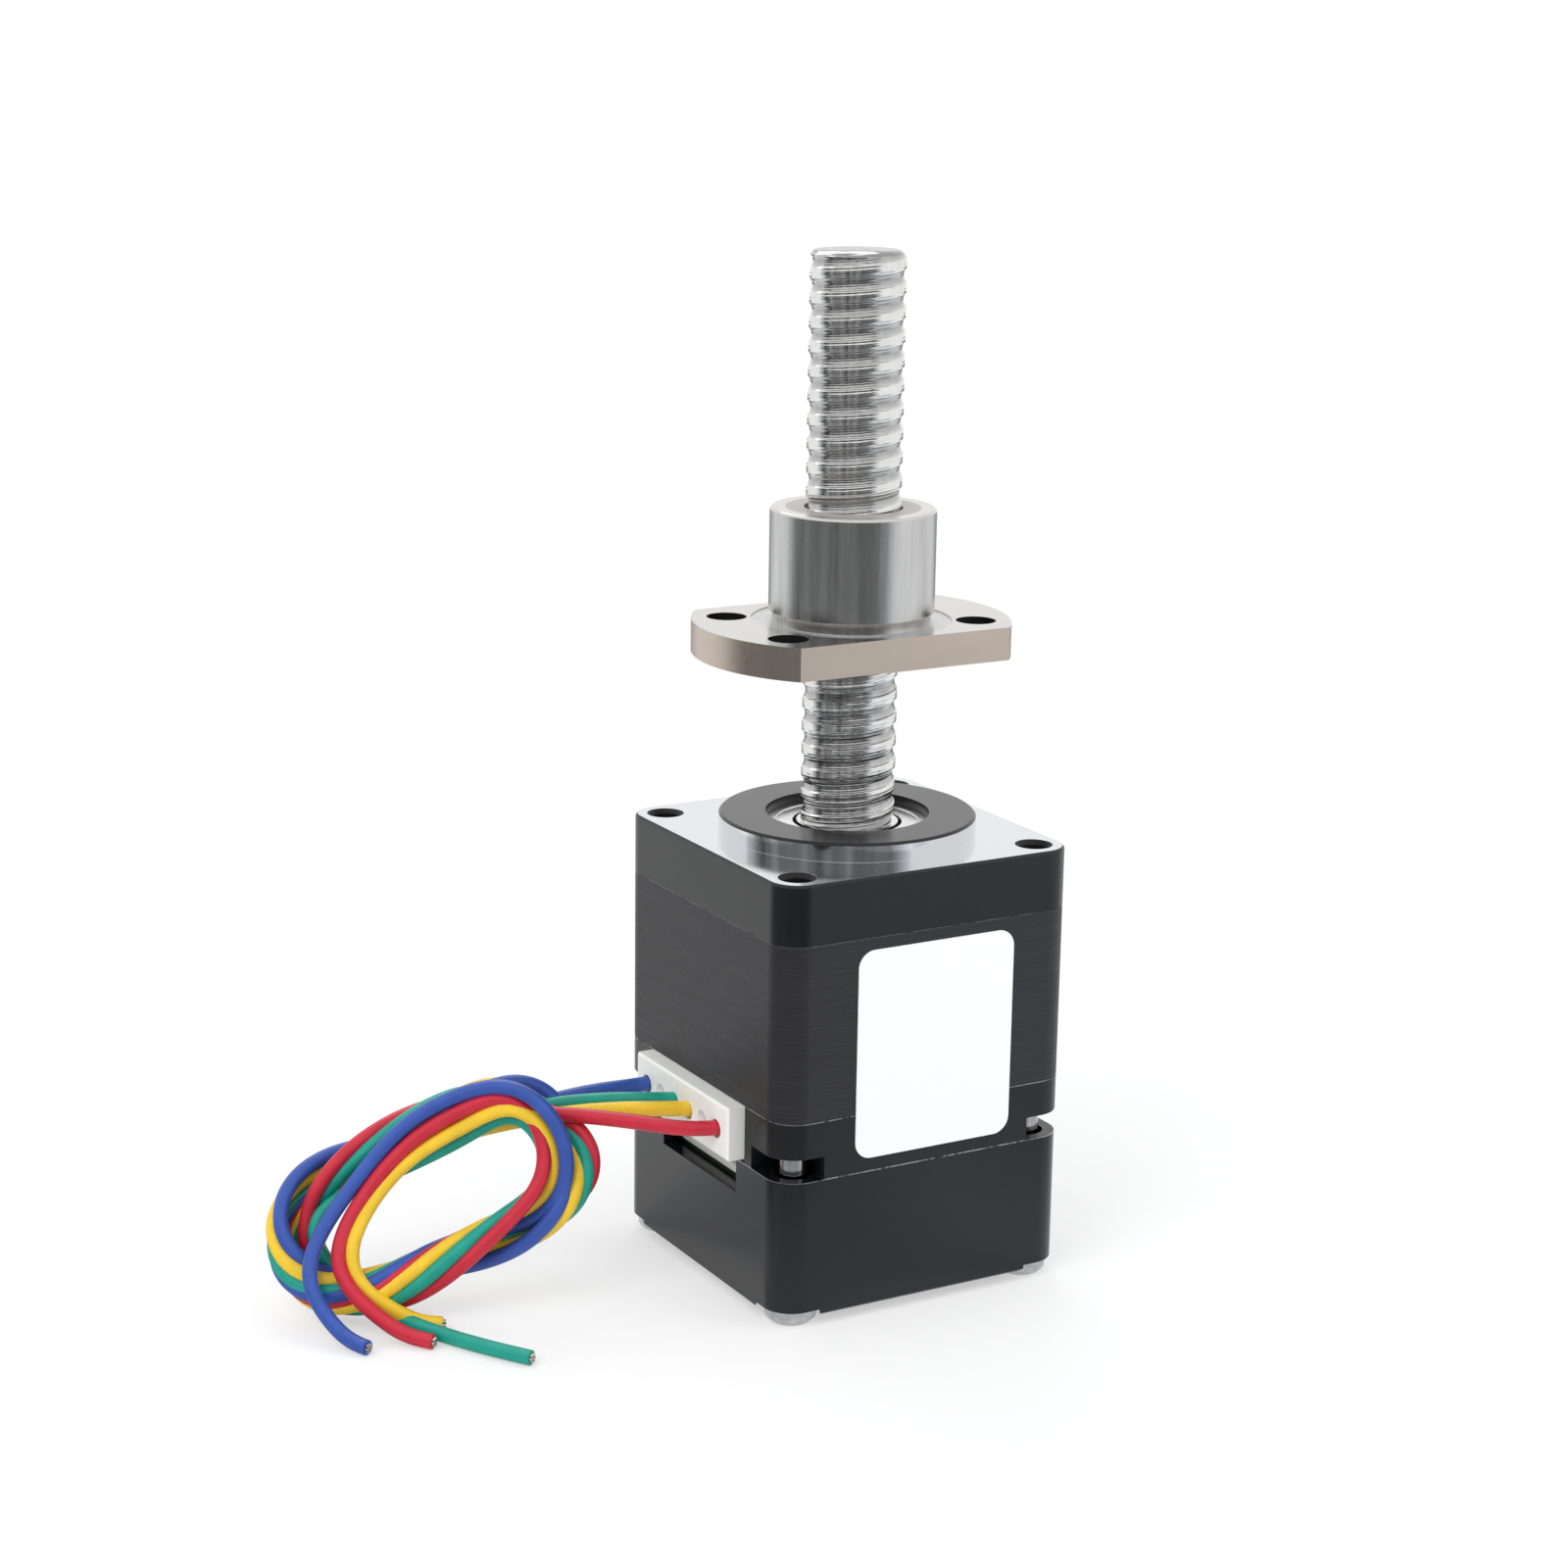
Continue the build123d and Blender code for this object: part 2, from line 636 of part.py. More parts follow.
# Rear cover with its four screw pillars and the slot for the encoder's socket
with BuildPart() as encoder_cover:
    frame_prism(rear_cap_end, cover_length)
    chamfer(encoder_cover.faces().sort_by(Axis.Z)[0].edges(), edge_break)
    with BuildSketch(Plane.XY.offset(rear_cap_end)):
        RectangleRounded(frame_width - 2 * cover_wall, frame_width - 2 * cover_wall,
                         frame_corner_radius - cover_wall)
        with GridLocations(mount_hole_spacing, mount_hole_spacing, 2, 2):
            Circle(pillar_radius, mode=Mode.SUBTRACT)
    extrude(amount=cover_floor - cover_length, mode=Mode.SUBTRACT)
    corner_holes(tie_hole_radius, rear_cap_end, cover_length)
    corner_holes(tie_head_diameter / 2 + head_recess_clearance, cover_end + tie_head_recess,
                 tie_head_recess)
    with BuildSketch(Plane.YZ.offset(-half_width)):
        with Locations((slot_centre_y, rear_cap_end - slot_height / 2)):
            Rectangle(slot_length, slot_height)
    extrude(amount=cover_wall, mode=Mode.SUBTRACT)
save(encoder_cover, "encoder_cover")

head_seat = cover_end + tie_head_recess
with BuildPart() as one_tie_screw:
    disc(tie_head_diameter / 2, head_seat, tie_head_height)
    chamfer(one_tie_screw.faces().sort_by(Axis.Z)[0].edges(), tie_head_chamfer)
    with BuildSketch(Plane.XY.offset(head_seat - tie_head_height)):
        Rectangle(cross_recess_length, cross_recess_width)
        Rectangle(cross_recess_width, cross_recess_length)
    extrude(amount=cross_recess_depth, mode=Mode.SUBTRACT)
    with BuildSketch(Plane.XY.offset(head_seat)):
        Circle(tie_screw_diameter / 2)
    extrude(amount=cap_joint + tie_screw_engagement - head_seat)
with BuildPart() as tie_screws:
    with GridLocations(mount_hole_spacing, mount_hole_spacing, 2, 2):
        add(one_tie_screw.part)
save(tie_screws, "tie_screws")


# Lead connector: header and contacts in the rear cap, and the plug that the leads go into
connector_top = stator_end - connector_clearance / 2
connector_level = connector_top - connector_height / 2
header_back = -insulator_radius - connector_clearance
header_face = header_back - header_thickness
plug_face = -half_width - connector_reach
contact_ys = [
    connector_centre_y + (number - (connector_positions - 1) / 2) * connector_pitch
    for number in range(connector_positions)
]
with BuildPart() as connector_header:
    with BuildSketch(Plane.YZ.offset(header_back)):
        with Locations((connector_centre_y, connector_level)):
            Rectangle(connector_width, connector_height)
        for contact_y in contact_ys:
            with Locations((contact_y, connector_level)):
                Rectangle(contact_size, contact_size, mode=Mode.SUBTRACT)
    extrude(amount=-header_thickness)
save(connector_header, "connector_header")

with BuildPart() as connector_contacts:
    with BuildSketch(Plane.YZ.offset(header_back)):
        for contact_y in contact_ys:
            with Locations((contact_y, connector_level)):
                Rectangle(contact_size, contact_size)
    extrude(amount=-contact_length)
save(connector_contacts, "connector_contacts")

with BuildPart() as connector_plug:
    with BuildSketch(Plane.YZ.offset(plug_face)):
        with Locations((connector_centre_y, connector_level)):
            Rectangle(connector_width, connector_height)
    extrude(amount=header_face - plug_face)
    chamfer(connector_plug.faces().sort_by(Axis.X)[0].edges(), edge_break)
    with BuildSketch(Plane.YZ.offset(plug_face)):
        for contact_y in contact_ys:
            with Locations((contact_y, connector_level)):
                Circle(wire_hole_diameter / 2)
    extrude(amount=wire_hole_depth, mode=Mode.SUBTRACT)
    with BuildSketch(Plane.YZ.offset(header_face)):
        for contact_y in contact_ys:
            with Locations((contact_y, connector_level)):
                Rectangle(contact_size, contact_size)
    extrude(amount=header_thickness - contact_length, mode=Mode.SUBTRACT)
save(connector_plug, "connector_plug")

with BuildPart() as blank_label:
    with BuildSketch(Plane.XZ.offset(half_width)):
        with Locations((label_centre_x, -label_top_below_face - label_height / 2)):
            RectangleRounded(label_width, label_height, label_corner_radius)
    extrude(amount=label_thickness)
save(blank_label, "blank_label")


# Leads: four runs from the plug to the coil, the coil's outer shape and four loose ends
def tube(points, diameter):
    """A round tube along straight runs joined by arcs as large as the runs allow."""
    points = [Vector(point) for point in points]
    runs = [after - before for before, after in zip(points, points[1:])]
    radii = []
    for before, after in zip(runs, runs[1:]):
        turn = before.get_angle(after)
        radii.append(lead_arc_share * min(before.length, after.length) / tan(radians(turn / 2)))
    with BuildPart() as lead:
        with BuildLine() as route:
            FilletPolyline(*points, radius=radii)
        with BuildSketch(Plane(points[0], z_dir=runs[0])):
            Circle(diameter / 2)
        sweep(path=route.line)
    length = sum(edge.length for edge in route.edges())
    share = lead.part.volume / (length * pi * diameter ** 2 / 4)
    print("tube radii", [round(radius, 1) for radius in radii])
    print("tube length", round(length, 1), "volume over section times length", round(share, 3))
    return lead


for colour, position in lead_positions.items():
    inside = (plug_face + wire_hole_depth, contact_ys[position], connector_level)
    save(tube([inside] + lead_runs[colour], lead_diameter), f"lead_run_{colour}")
    save(tube(lead_tails[colour], lead_diameter), f"lead_tail_{colour}")

coil_plane = Plane(coil_centre, x_dir=coil_long_axis, z_dir=coil_normal)
with BuildPart() as lead_coil:
    with BuildLine(coil_plane) as oval:
        Line((-coil_half_length, coil_end_radius), (coil_half_length, coil_end_radius))
        ThreePointArc((coil_half_length, coil_end_radius), (coil_half_length + coil_end_radius, 0),
                      (coil_half_length, -coil_end_radius))
        Line((coil_half_length, -coil_end_radius), (-coil_half_length, -coil_end_radius))
        ThreePointArc((-coil_half_length, -coil_end_radius), (-coil_half_length - coil_end_radius, 0),
                      (-coil_half_length, coil_end_radius))
    with BuildSketch(Plane(oval.line @ 0, z_dir=oval.line % 0)):
        Circle(coil_radius)
    sweep(path=oval.line)
save(lead_coil, "lead_coil")
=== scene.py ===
from math import cos, pi, radians, sin

import bmesh
import bpy
from mathutils import Matrix, Vector


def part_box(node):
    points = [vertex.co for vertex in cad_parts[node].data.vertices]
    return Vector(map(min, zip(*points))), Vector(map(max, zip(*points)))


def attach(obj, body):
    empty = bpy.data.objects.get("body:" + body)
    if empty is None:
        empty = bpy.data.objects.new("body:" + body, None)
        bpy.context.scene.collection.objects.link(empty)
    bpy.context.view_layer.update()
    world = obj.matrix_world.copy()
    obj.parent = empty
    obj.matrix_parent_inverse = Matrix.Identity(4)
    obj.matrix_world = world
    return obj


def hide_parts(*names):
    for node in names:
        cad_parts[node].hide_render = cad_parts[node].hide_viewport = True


# Lengths are in millimetres, in the frame's axes. MM turns them into metres as a piece is finished.
MM = 0.001

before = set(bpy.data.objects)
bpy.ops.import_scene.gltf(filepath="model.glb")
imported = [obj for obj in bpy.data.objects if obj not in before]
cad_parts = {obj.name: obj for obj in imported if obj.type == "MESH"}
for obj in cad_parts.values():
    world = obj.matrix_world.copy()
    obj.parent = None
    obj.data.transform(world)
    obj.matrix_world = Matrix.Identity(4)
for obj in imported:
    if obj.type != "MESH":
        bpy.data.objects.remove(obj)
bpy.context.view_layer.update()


def node_size(node):
    """A CAD node's lowest and highest corners, in millimetres."""
    low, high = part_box(node)
    return Vector(low) / MM, Vector(high) / MM


# Driving sizes, read from the frame where it has them
front_low, front_high = node_size("front_cap")
nut_low, nut_high = node_size("ball_nut")
screw_low, screw_high = node_size("ball_screw")
stator_bottom = node_size("stator_core")[0].z
cover_top = node_size("encoder_cover")[1].z
floor_level = node_size("tie_screws")[0].z
half_width = front_high.x
screw_radius = screw_high.x
pilot_height = front_high.z
pilot_radius = 11.0
pilot_opening_radius = 7.0
mount_hole_place = 11.5
bearing_lip = 0.8
front_journal_radius = 3.0
rear_journal_radius = 2.5
screw_lead = 2.0
raceway_land = 0.9
raceway_depth = 0.26
nut_radius = 7.0
flange_thickness = 2.8
flange_top = nut_low.z + flange_thickness
flange_hole_x = 9.0935
flange_hole_y = 5.25

# Camera, fitted to the photograph
camera_azimuth = radians(-31.11)
camera_elevation = radians(13.35)
camera_roll = radians(0.89)
camera_distance = 271.3
camera_pivot = Vector((0, 0, 8))
camera_aim = Vector((-5.127, 1.994, 4.025))
camera_reach_m = 10
photo_side_px = 1600
focal_px = 3255
sensor_width = 36.0


# Shader maths
class Value:
    """One shader socket or number; its operators add the Math nodes."""

    def __init__(self, finish, socket):
        self.finish = finish
        self.socket = socket

    def math(self, operation, *others):
        return self.finish.add("Math", {"operation": operation}, self, *others)

    def __add__(self, other):
        return self.math("ADD", other)

    def __sub__(self, other):
        return self.math("SUBTRACT", other)

    def __mul__(self, other):
        return self.math("MULTIPLY", other)

    def __truediv__(self, other):
        return self.math("DIVIDE", other)

    def __rsub__(self, other):
        return self.finish.add("Math", {"operation": "SUBTRACT"}, other, self)

    __radd__ = __add__
    __rmul__ = __mul__

    def sine(self):
        return self.math("SINE")

    def power(self, exponent):
        return self.math("POWER", exponent)

    def clamped(self):
        return self.finish.add("Math", {"operation": "MAXIMUM"}, self.math("MINIMUM", 1.0), 0.0)


class Shading:
    """The nodes of one material or world, and one method that adds any node."""

    def __init__(self, tree):
        self.nodes = tree.nodes
        self.links = tree.links

    def plug(self, socket, value):
        if isinstance(value, Value):
            self.links.new(value.socket, socket)
        else:
            socket.default_value = value

    def add(self, kind, settings, *values, output=0, **named):
        node = self.nodes.new("ShaderNode" + kind)
        for key, value in settings.items():
            if key == "stops":
                ramp = node.color_ramp
                ramp.elements[0].position, ramp.elements[0].color = value[0]
                ramp.elements[1].position, ramp.elements[1].color = value[-1]
                for position, color in value[1:-1]:
                    ramp.elements.new(position).color = color
            else:
                setattr(node, key, value)
        for socket, value in zip(node.inputs, values):
            self.plug(socket, value)
        for name, value in named.items():
            self.plug(node.inputs[name.replace("_", " ")], value)
        return Value(self, node.outputs[output])

    def seen(self):
        """1 for the camera and for what metal and clear things show, 0 for light on the object."""
        rays = self.add("LightPath", {}).socket.node.outputs
        camera, glossy, through = [
            Value(self, rays[name]) for name in ("Is Camera Ray", "Is Glossy Ray", "Is Transmission Ray")
        ]
        return (camera + glossy + through).clamped()


class Finish(Shading):
    """A material with a Principled shader."""

    def __init__(self, name, color, roughness, metallic=0.0, **plain):
        self.material = bpy.data.materials.new(name)
        self.material.use_nodes = True
        self.material.diffuse_color = (*color, 1.0)
        super().__init__(self.material.node_tree)
        self.shader = self.nodes["Principled BSDF"]
        self.set("Base Color", (*color, 1.0))
        self.set("Roughness", roughness)
        self.set("Metallic", metallic)
        for socket, value in plain.items():
            self.set(socket.replace("_", " ").title().replace("Ior", "IOR"), value)

    def set(self, name, value):
        self.plug(self.shader.inputs[name], value)

    def place(self):
        """Object coordinates in millimetres."""
        spot = self.add("TexCoord", {}, output="Object")
        return self.add("VectorMath", {"operation": "SCALE"}, spot, Scale=1 / MM)

    def split(self, vector):
        parts = self.add("SeparateXYZ", {}, vector)
        node = parts.socket.node
        return [Value(self, socket) for socket in node.outputs]

    def stretched(self, place, x, y, z):
        return self.add("VectorMath", {"operation": "MULTIPLY"}, place, (x, y, z))

    def noise(self, place, scale, detail=3.0, roughness=0.55):
        return self.add("TexNoise", {}, Vector=place, Scale=scale, Detail=detail, Roughness=roughness)

    def mix(self, factor, first, second):
        """A colour between two colours."""
        node = self.nodes.new("ShaderNodeMix")
        node.data_type = "RGBA"
        for index, value in ((0, factor), (6, first), (7, second)):
            self.plug(node.inputs[index], value)
        return Value(self, node.outputs[2])

    def bump(self, height, strength, distance):
        normal = self.add("Bump", {}, Height=height, Strength=strength, Distance=distance * MM)
        self.set("Normal", normal)


def rgb(red, green, blue):
    return (red, green, blue, 1.0)


def black_coat(name, color, roughness, texture, relief=0.08):
    """Satin black coating with fine unevenness and faint handling marks."""
    finish = Finish(name, color, roughness, specular_ior_level=0.42)
    place = finish.place()
    grain = finish.noise(place, texture, 4.0)
    cloud = finish.noise(place, 0.16, 2.0)
    finish.set("Roughness", roughness + (grain - 0.5) * 0.06 + (cloud - 0.5) * 0.12)
    lighter = rgb(color[0] * 1.7, color[1] * 1.7, color[2] * 1.7)
    finish.set("Base Color", finish.mix((cloud * 0.9 + grain * 0.2).clamped(), rgb(*color), lighter))
    finish.bump(grain, relief, 0.02)
    return finish.material


def laminated():
    """Stacked sheet steel: fine level lines, some of them lighter, with a dark oxide between."""
    sheet_pitch = 0.34
    finish = Finish("stator_lamination", (0.03, 0.03, 0.032), 0.48, 0.2)
    place = finish.place()
    height = finish.split(place)[2]
    sheet = (height * (2 * pi / sheet_pitch)).sine()
    tone = finish.noise(finish.stretched(place, 0.05, 0.05, 4.2), 1.0, 2.0)
    scratch = finish.noise(finish.stretched(place, 0.55, 0.55, 9.0), 1.0, 5.0, 0.7)
    lines = (sheet * 0.09 + 0.45 + (tone - 0.5) * 0.45 + (scratch - 0.5) * 0.9).clamped()
    finish.set("Base Color", finish.mix(lines, rgb(0.011, 0.011, 0.0125), rgb(0.040, 0.040, 0.044)))
    finish.set("Roughness", 0.56 - lines * 0.16)
    finish.bump(sheet * 0.4 + scratch, 0.16, 0.03)
    return finish.material


def turned_metal(name, color, roughness, ring_pitch, mark):
    """Bright metal turned about the screw's axis: rings that are too fine to see one by one."""
    finish = Finish(name, color, roughness, 1.0)
    x, y = finish.split(finish.place())[:2]
    radius = (x * x + y * y).power(0.5)
    rings = (radius * (2 * pi / ring_pitch)).sine()
    uneven = finish.add("TexNoise", {"noise_dimensions": "1D"}, W=radius, Scale=3.0, Detail=3.0)
    finish.set("Roughness", roughness + (uneven - 0.5) * 0.16)
    finish.bump(rings * 0.4 + uneven, mark, 0.01)
    return finish.material


def brushed_metal(name, dark, light, roughness, across, along):
    """Metal with fine marks that run along one direction."""
    finish = Finish(name, light, roughness, 1.0)
    place = finish.place()
    streak = finish.noise(finish.stretched(place, *across), 1.0, 4.0)
    band = finish.noise(finish.stretched(place, *along), 1.0, 2.0)
    share = (streak * 0.7 + band * 0.6 - 0.15).clamped()
    finish.set("Base Color", finish.mix(share, rgb(*dark), rgb(*light)))
    finish.set("Roughness", roughness + (streak - 0.5) * 0.22)
    finish.bump(streak, 0.25, 0.015)
    return finish.material


def polished_screw():
    """Ground and polished steel: lighter on the lands and darker towards the groove bottoms as painted
    shade, smears, and fine ridges that follow the groove.
    """
    ridges_per_lead = 7
    finish = Finish("polished_raceway_painted_groove_shade", (0.78, 0.78, 0.78), 0.14, 1.0)
    place = finish.place()
    x, y, z = finish.split(place)
    depth = ((x * x + y * y).power(0.5) - (screw_radius - raceway_depth)) * (1 / raceway_depth)
    smear = finish.noise(place, 1.3, 4.0)
    marks = finish.noise(finish.stretched(place, 0.6, 0.6, 9.0), 1.0, 3.0)
    along = z * (2 * pi / screw_lead) - y.math("ARCTAN2", x)
    ridges = (along * ridges_per_lead).sine()
    # Painted shade: the colour darkens towards the groove bottoms, mixed with random smears.
    share = (depth * 0.65 + smear * 0.35).clamped()
    finish.set("Base Color", finish.mix(share, rgb(0.30, 0.30, 0.30), rgb(0.86, 0.86, 0.85)))
    finish.set("Roughness", 0.05 + smear * 0.08 + (marks - 0.5) * 0.06)
    finish.bump(marks + smear * 0.5 + ridges * 0.9, 0.42, 0.024)
    return finish.material


def painted_seam_highlight():
    """The black coat along the housing's seams, with bright bare-metal patches painted in as the seams'
    highlight.
    """
    finish = Finish("painted_seam_highlight", (0.012, 0.012, 0.013), 0.34, specular_ior_level=0.42)
    place = finish.place()
    patch_cloud = finish.noise(place, 0.35, 3.0)
    patch_grain = finish.noise(place, 4.0, 3.0)
    # Painted highlight: bright metal patches along the seam edges.
    bare = ((patch_cloud * 0.75 + patch_grain * 0.45 - 0.52) * 9.0).clamped()
    finish.set("Base Color", finish.mix(bare, rgb(0.010, 0.010, 0.011), rgb(0.62, 0.62, 0.63)))
    finish.set("Metallic", bare)
    finish.bump(patch_grain, 0.12, 0.02)
    return finish.material


def moulding(name, color, roughness, grain_scale=1.6, shade=0.82, **plain):
    """Moulded plastic with a slight orange-peel surface."""
    finish = Finish(name, color, roughness, **plain)
    place = finish.place()
    peel = finish.noise(place, grain_scale, 3.0)
    fine = finish.noise(place, 9.0, 2.0)
    deeper = rgb(color[0] * shade, color[1] * shade, color[2] * shade)
    finish.set("Base Color", finish.mix((peel * 1.2 - 0.1).clamped(), deeper, rgb(*color)))
    finish.set("Roughness", roughness + (fine - 0.5) * 0.16)
    finish.bump(peel + fine * 0.4, 0.12, 0.03)
    return finish.material


def insulation(name, color):
    """Soft lead insulation: satin, a little uneven in colour, with faint draw marks."""
    finish = Finish(name, color, 0.38, subsurface_weight=0.06, subsurface_scale=0.0008)
    place = finish.place()
    cloud = finish.noise(place, 0.6, 3.0)
    fine = finish.noise(place, 6.0, 2.0)
    deeper = rgb(color[0] * 0.74, color[1] * 0.74, color[2] * 0.74)
    finish.set("Base Color", finish.mix((cloud * 1.4 - 0.2).clamped(), deeper, rgb(*color)))
    finish.set("Roughness", 0.36 + (fine - 0.5) * 0.2)
    finish.bump(fine + cloud, 0.10, 0.03)
    return finish.material


coat = {
    "cap_side": black_coat("cap_side_coat", (0.0048, 0.0052, 0.0062), 0.30, 5.0),
    "rear_cap": black_coat("rear_cap_coat", (0.0052, 0.0056, 0.0066), 0.34, 4.0),
    "cover": black_coat("cover_coat", (0.0042, 0.0048, 0.0062), 0.21, 3.0, 0.05),
    "pilot_top": black_coat("pilot_top_coat", (0.0045, 0.0047, 0.0054), 0.20, 6.0, 0.04),
    # The hole walls' coat is painted shade: a near-black colour for the shade inside the holes.
    "hole": black_coat("thread_shadow", (0.0022, 0.0022, 0.0024), 0.55, 6.0),
}
seam_highlight_coat = painted_seam_highlight()
lamination = laminated()
machined = turned_metal("machined_face", (0.76, 0.77, 0.79), 0.12, 0.12, 0.06)
turned_ring = turned_metal("turned_ring", (0.80, 0.80, 0.80), 0.22, 0.10, 0.15)
nut_side = brushed_metal("nut_turned_side", (0.33, 0.335, 0.34), (0.74, 0.74, 0.73), 0.25,
                         (2.4, 2.4, 0.12), (0.35, 0.35, 0.05))
nut_flat = brushed_metal("nut_ground_flat", (0.50, 0.42, 0.36), (0.64, 0.555, 0.48), 0.33,
                         (0.16, 2.0, 3.0), (0.08, 0.3, 0.4))
nut_top_finish = turned_metal("nut_faced_top", (0.62, 0.61, 0.59), 0.16, 0.09, 0.12)
raceway_steel_groove_shaded = polished_screw()
plated = brushed_metal("zinc_plate", (0.26, 0.26, 0.27), (0.70, 0.70, 0.70), 0.16,
                       (1.6, 1.6, 1.6), (0.5, 0.5, 0.5))
sheet_steel = brushed_metal("sheet_steel", (0.40, 0.40, 0.41), (0.74, 0.74, 0.74), 0.30,
                            (1.0, 1.0, 3.0), (0.4, 0.4, 0.4))
ball_steel = turned_metal("bearing_steel", (0.82, 0.82, 0.82), 0.12, 0.2, 0.05)
nylon = moulding("white_nylon", (0.84, 0.84, 0.80), 0.42, shade=0.94, subsurface_weight=0.12,
                 subsurface_scale=0.001)
paper = moulding("blank_label_film", (0.90, 0.90, 0.90), 0.46, 0.35, 0.985)
wiper_resin = moulding("wiper_resin", (0.40, 0.39, 0.37), 0.36)
insulator_resin = moulding("insulator_resin", (0.62, 0.58, 0.48), 0.5)
# Green board laminate, darkened to near black as painted shade inside the cover's slot.
board_shade_darkened = moulding("board_laminate", (0.004, 0.018, 0.009), 0.5)
black_resin = moulding("reader_moulding", (0.012, 0.012, 0.012), 0.4)
copper = brushed_metal("enamelled_copper", (0.30, 0.10, 0.03), (0.72, 0.34, 0.15), 0.30,
                       (3.0, 3.0, 0.3), (0.4, 0.4, 0.4))
strand_metal = brushed_metal("tinned_strands", (0.50, 0.46, 0.40), (0.86, 0.82, 0.76), 0.30,
                             (3.0, 3.0, 3.0), (0.4, 0.4, 0.4))
lead_finish = {
    "red": insulation("red_insulation", (0.62, 0.018, 0.045)),
    "yellow": insulation("yellow_insulation", (0.95, 0.62, 0.03)),
    "green": insulation("green_insulation", (0.006, 0.36, 0.27)),
    "blue": insulation("blue_insulation", (0.035, 0.095, 0.42)),
}


# Pieces
merge_distance = 0.001
flat_angle = 0.5


def finished(bm, name, body, materials, sharp_angle=35, weighted=True):
    """Turns a bmesh in millimetres into a piece in metres that rides on its body."""
    bmesh.ops.scale(bm, vec=(MM, MM, MM), verts=bm.verts)
    mesh = bpy.data.meshes.new(name)
    for edge in bm.edges:
        edge.smooth = not (edge.is_manifold and edge.calc_face_angle() > radians(sharp_angle))
    for face in bm.faces:
        face.smooth = True
    bm.to_mesh(mesh)
    bm.free()
    piece = bpy.data.objects.new(name, mesh)
    bpy.context.scene.collection.objects.link(piece)
    for material in materials:
        mesh.materials.append(material)
    if weighted:
        flatten = piece.modifiers.new("flat faces", "WEIGHTED_NORMAL")
        flatten.keep_sharp = True
    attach(piece, body)
    return piece


def merged_copy(node, edge_radius, edge_angle=40):
    """A CAD node's shape as one merged mesh in millimetres, with its sharp edges rounded."""
    bm = bmesh.new()
    bm.from_mesh(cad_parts[node].data)
    bmesh.ops.scale(bm, vec=(1 / MM, 1 / MM, 1 / MM), verts=bm.verts)
    bmesh.ops.remove_doubles(bm, verts=bm.verts, dist=merge_distance)
    bmesh.ops.dissolve_limit(bm, angle_limit=radians(flat_angle), verts=bm.verts, edges=bm.edges)
    bmesh.ops.recalc_face_normals(bm, faces=bm.faces)
    edges = [e for e in bm.edges if e.is_manifold and e.calc_face_angle() > radians(edge_angle)]
    bmesh.ops.bevel(bm, geom=edges, offset=edge_radius, segments=2, profile=0.5, affect="EDGES",
                    material=-1, clamp_overlap=True)
    return bm


def dressed(node, body, materials, edge_radius=0.08, choose=None):
    """Replaces a CAD node by its merged copy, with a material chosen for each face."""
    bm = merged_copy(node, edge_radius)
    if choose:
        for face in bm.faces:
            face.material_index = materials.index(choose(face.calc_center_median(), face.normal))
    piece = finished(bm, node + "_dressed", body, materials)
    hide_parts(node)
    return piece


def repaint(node, material):
    """Gives a CAD node that keeps its shape a better material."""
    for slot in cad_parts[node].material_slots:
        slot.material = material


# Housing. A face's material follows from its place and its direction.
near_level = 0.05
rounded_edge = 0.25
upright = 0.9
mount_hole_reach = 1.75
flange_hole_reach = 1.85


def nearest_hole(centre, spread_x, spread_y):
    """How far a point is, seen along the axis, from the nearest of four holes around it."""
    return min((Vector((centre.x - spread_x * side_x, centre.y - spread_y * side_y))).length
               for side_x in (-1, 1) for side_y in (-1, 1))


def at_seam(centre, normal, level):
    """Is this the narrow rounded edge where two pieces of the housing meet?"""
    return abs(centre.z - level) < 0.16 and 0.15 < abs(normal.z) < 0.95 and max(
        abs(centre.x), abs(centre.y)) > half_width - 1.5


def front_cap_finish(centre, normal):
    """Black sides, bright machined face and a black ring on the pilot."""
    radius = Vector((centre.x, centre.y)).length
    if centre.z > pilot_height - rounded_edge:
        return coat["pilot_top"]
    # Mount-hole walls take the near-black coat: painted shade inside the holes.
    if nearest_hole(centre, mount_hole_place, mount_hole_place) < mount_hole_reach and normal.z < upright:
        return coat["hole"]
    if abs(centre.z) < near_level and normal.z > 0.85:
        return machined
    if centre.z > -near_level and pilot_opening_radius + 0.2 < radius < pilot_radius + 0.12:
        return machined
    # Seam edges take the bright patches: a painted highlight.
    return seam_highlight_coat if at_seam(centre, normal, front_low.z) else coat["cap_side"]


def rear_cap_finish(centre, normal):
    # Seam edges take the bright patches: a painted highlight.
    seam = at_seam(centre, normal, stator_bottom) or at_seam(centre, normal, cover_top)
    return seam_highlight_coat if seam else coat["rear_cap"]


def cover_finish(centre, normal):
    # Seam edges take the bright patches: a painted highlight.
    return seam_highlight_coat if at_seam(centre, normal, cover_top) else coat["cover"]


dressed("front_cap", "housing",
        [coat["cap_side"], machined, coat["pilot_top"], coat["hole"], seam_highlight_coat], 0.10, front_cap_finish)
dressed("stator_core", "housing", [lamination], 0.05)
dressed("rear_cap", "housing", [coat["rear_cap"], seam_highlight_coat], 0.12, rear_cap_finish)
dressed("encoder_cover", "housing", [coat["cover"], seam_highlight_coat], 0.16, cover_finish)
dressed("tie_screws", "housing", [plated], 0.12)
dressed("blank_label", "housing", [paper], 0.02)
dressed("connector_plug", "housing", [nylon], 0.10)
dressed("connector_header", "housing", [nylon], 0.05)


